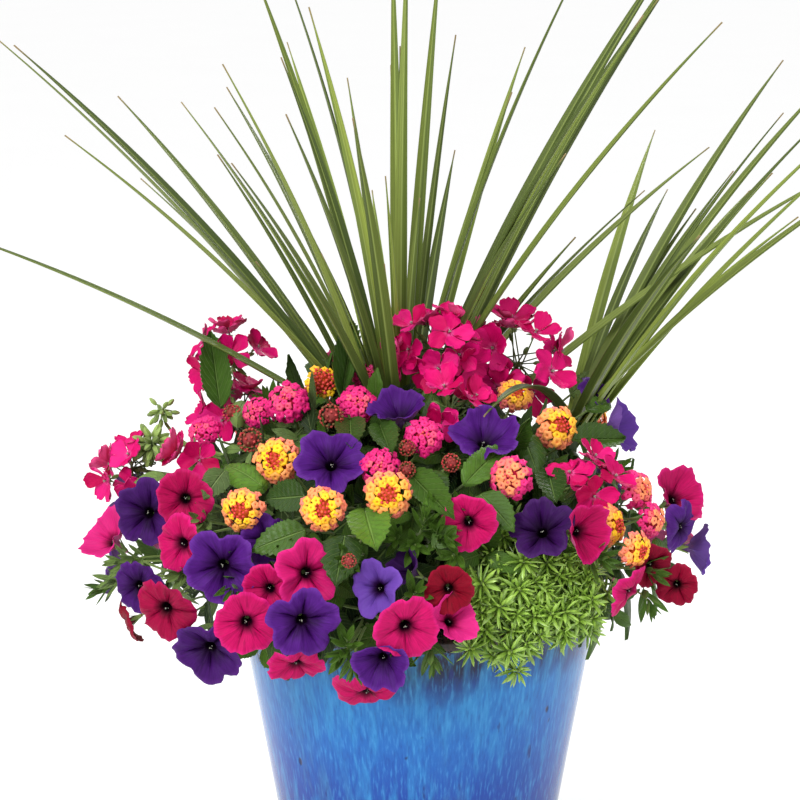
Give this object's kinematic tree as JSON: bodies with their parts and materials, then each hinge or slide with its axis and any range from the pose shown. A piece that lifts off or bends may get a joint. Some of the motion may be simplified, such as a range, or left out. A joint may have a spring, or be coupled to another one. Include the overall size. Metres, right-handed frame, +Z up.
{
  "type": "mixed planter of lantana, petunias, geraniums, sedum and grassy spike plants",
  "caption": "Tall glazed round pot holding a dome of lantana, petunia and geranium blooms, trailing sedum and long arching spike leaves.",
  "frame": {"origin": "centre of the flat underside of the pot", "axes": "+Z up along the pot's axis; the planting's front faces -Y and +X is to the viewer's right"},
  "size_m": [0.9072, 0.7806, 0.979],
  "materials": {
    "blue_glaze": "glossy",
    "potting_mix": "matte",
    "spike_leaf": "satin",
    "lantana_leaf": "matte",
    "petunia_leaf": "matte",
    "geranium_leaf": "matte",
    "sedum_leaf": "satin",
    "petunia_magenta": "matte",
    "petunia_purple": "matte",
    "lantana_gold": "matte",
    "lantana_pink": "matte",
    "lantana_bud": "matte",
    "geranium_pink": "matte",
    "geranium_bud": "matte"
  },
  "bodies": {
    "root": {"pot": "blue_glaze", "soil": "potting_mix", "spike_plant_centre": "spike_leaf", "spike_plant_right": "spike_leaf", "petunia_magenta_1": "petunia_magenta", "petunia_magenta_2": "petunia_magenta", "petunia_magenta_3": "petunia_magenta", "petunia_magenta_4": "petunia_magenta", "petunia_magenta_5": "petunia_magenta", "petunia_magenta_6": "petunia_magenta", "petunia_magenta_7": "petunia_magenta", "petunia_magenta_8": "petunia_magenta", "petunia_purple_1": "petunia_purple", "petunia_purple_2": "petunia_purple", "petunia_purple_3": "petunia_purple", "petunia_purple_4": "petunia_purple", "petunia_purple_5": "petunia_purple", "petunia_purple_6": "petunia_purple", "petunia_purple_7": "petunia_purple", "petunia_purple_8": "petunia_purple", "petunia_purple_9": "petunia_purple", "lantana_pink_1": "lantana_pink", "lantana_pink_2": "lantana_pink", "lantana_pink_3": "lantana_pink", "lantana_pink_4": "lantana_pink", "lantana_pink_5": "lantana_pink", "lantana_gold_1": "lantana_gold", "lantana_gold_2": "lantana_gold", "lantana_gold_3": "lantana_gold", "lantana_gold_4": "lantana_gold", "lantana_gold_5": "lantana_gold", "lantana_bud_1": "lantana_bud", "lantana_bud_2": "lantana_bud", "geranium_1": "geranium_pink", "geranium_2": "geranium_pink", "geranium_3": "geranium_pink", "geranium_4": "geranium_pink", "geranium_5": "geranium_pink", "geranium_6": "geranium_pink", "geranium_buds": "geranium_bud", "petunia_magenta_back_1": "petunia_magenta", "petunia_magenta_back_2": "petunia_magenta", "petunia_magenta_back_3": "petunia_magenta", "petunia_purple_back_1": "petunia_purple", "petunia_purple_back_2": "petunia_purple", "petunia_purple_back_3": "petunia_purple", "lantana_gold_back_1": "lantana_gold", "lantana_gold_back_2": "lantana_gold", "lantana_pink_back_1": "lantana_pink", "geranium_back_1": "geranium_pink", "geranium_back_2": "geranium_pink", "lantana_foliage_front": "lantana_leaf", "lantana_foliage_upper": "lantana_leaf", "lantana_foliage_right": "lantana_leaf", "petunia_foliage_back_right": "petunia_leaf", "geranium_foliage_back": "geranium_leaf", "petunia_foliage_back_left": "petunia_leaf", "lantana_foliage_left": "lantana_leaf", "petunia_foliage_front_left": "petunia_leaf", "sedum_clump": "sedum_leaf"}
  },
  "joints": []
}
